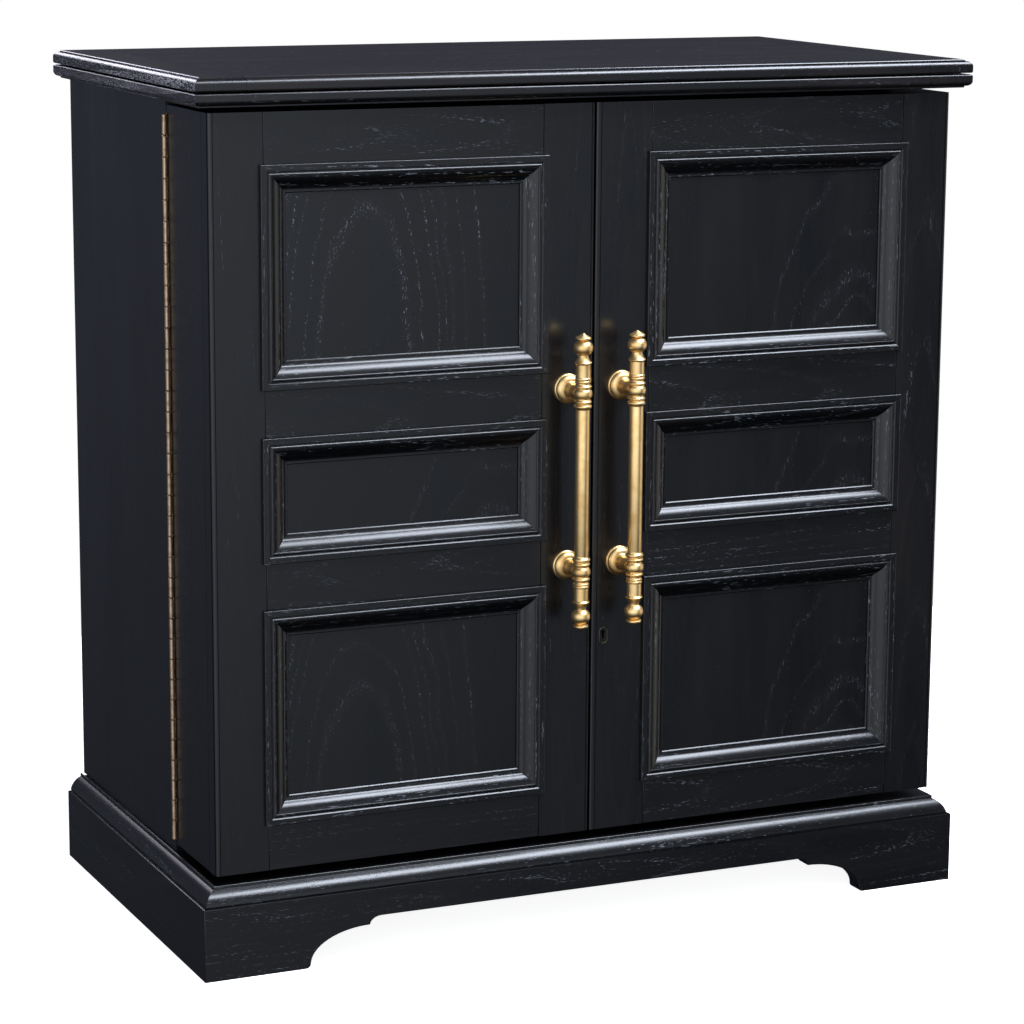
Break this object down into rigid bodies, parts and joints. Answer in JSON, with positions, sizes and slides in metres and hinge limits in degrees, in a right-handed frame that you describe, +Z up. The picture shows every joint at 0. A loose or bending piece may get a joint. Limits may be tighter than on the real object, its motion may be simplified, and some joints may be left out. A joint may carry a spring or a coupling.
{
  "type": "folding-top two-door bar cabinet",
  "caption": "Black two-door cabinet with deep box doors on continuous brass hinges, a folding top, framed panels, turned brass bar pulls and a bracket-foot plinth.",
  "frame": {"origin": "on the floor, under the centre of the whole cabinet's box, pulls and top included", "axes": "+Z up, -Y out of the front, +X to the cabinet's right as a person facing it sees it"},
  "size_m": [1.03, 0.5972, 1.0706],
  "materials": {
    "ebonised_wood": "satin black stain with open grain",
    "ebonised_panel": "satin black stain, flat figured panel",
    "interior_wood": "matt black stain",
    "satin_brass": "satin turned brass",
    "aged_brass": "dull aged brass",
    "dark_steel": "blackened steel"
  },
  "bodies": {
    "carcase": {"plinth_front": "ebonised_wood", "plinth_side_left": "ebonised_wood", "plinth_side_right": "ebonised_wood", "base_moulding": "ebonised_wood", "base_deck": "ebonised_wood", "case_side_left": "ebonised_wood", "case_side_right": "ebonised_wood", "case_back": "interior_wood", "case_shelf": "interior_wood", "top_fixed_panel": "ebonised_wood", "top_hinge_fixed_leaf": "dark_steel", "left_hinge_case_leaf": "aged_brass", "right_hinge_case_leaf": "aged_brass"},
    "left_door": {"left_door_stile_outer": "ebonised_wood", "left_door_stile_inner": "ebonised_wood", "left_door_rail_top": "ebonised_wood", "left_door_rail_upper": "ebonised_wood", "left_door_rail_lower": "ebonised_wood", "left_door_rail_bottom": "ebonised_wood", "left_door_panel_top": "ebonised_panel", "left_door_panel_middle": "ebonised_panel", "left_door_panel_bottom": "ebonised_panel", "left_door_moulding_top": "ebonised_wood", "left_door_moulding_middle": "ebonised_wood", "left_door_moulding_bottom": "ebonised_wood", "left_door_box_side": "ebonised_wood", "left_door_box_inner": "ebonised_wood", "left_door_box_top": "ebonised_wood", "left_door_box_bottom": "ebonised_wood", "left_door_bottle_shelf": "interior_wood", "left_door_hinge_leaf": "aged_brass", "left_door_pull_bar": "satin_brass", "left_door_pull_post_upper": "satin_brass", "left_door_pull_post_lower": "satin_brass"},
    "right_door": {"right_door_stile_outer": "ebonised_wood", "right_door_stile_inner": "ebonised_wood", "right_door_rail_top": "ebonised_wood", "right_door_rail_upper": "ebonised_wood", "right_door_rail_lower": "ebonised_wood", "right_door_rail_bottom": "ebonised_wood", "right_door_panel_top": "ebonised_panel", "right_door_panel_middle": "ebonised_panel", "right_door_panel_bottom": "ebonised_panel", "right_door_moulding_top": "ebonised_wood", "right_door_moulding_middle": "ebonised_wood", "right_door_moulding_bottom": "ebonised_wood", "right_door_box_side": "ebonised_wood", "right_door_box_inner": "ebonised_wood", "right_door_box_top": "ebonised_wood", "right_door_box_bottom": "ebonised_wood", "right_door_bottle_shelf": "interior_wood", "right_door_hinge_leaf": "aged_brass", "right_door_pull_bar": "satin_brass", "right_door_pull_post_upper": "satin_brass", "right_door_pull_post_lower": "satin_brass", "right_door_keyhole_escutcheon": "aged_brass", "right_door_lock_case": "aged_brass"},
    "top_leaf": {"top_leaf_panel": "ebonised_wood", "top_hinge_moving_leaf": "dark_steel"},
    "lock_bolt": {"lock_bolt": "aged_brass"}
  },
  "joints": [
    {"name": "left_door_swing", "type": "hinge", "parent": "carcase", "child": "left_door", "pos_m": [-0.49546, -0.09685, 0.576], "axis": [0, 0, -1], "range_deg": [0, 180]},
    {"name": "right_door_swing", "type": "hinge", "parent": "carcase", "child": "right_door", "pos_m": [0.49546, -0.09685, 0.576], "axis": [0, 0, 1], "range_deg": [0, 180]},
    {"name": "top_leaf_fold", "type": "hinge", "parent": "carcase", "child": "top_leaf", "pos_m": [0, 0.29665, 1.05305], "axis": [-1, 0, 0], "range_deg": [0, 180]},
    {"name": "lock_bolt_throw", "type": "slide", "parent": "right_door", "child": "lock_bolt", "axis": [-1, 0, 0], "range_m": [0, 0.009]}
  ]
}
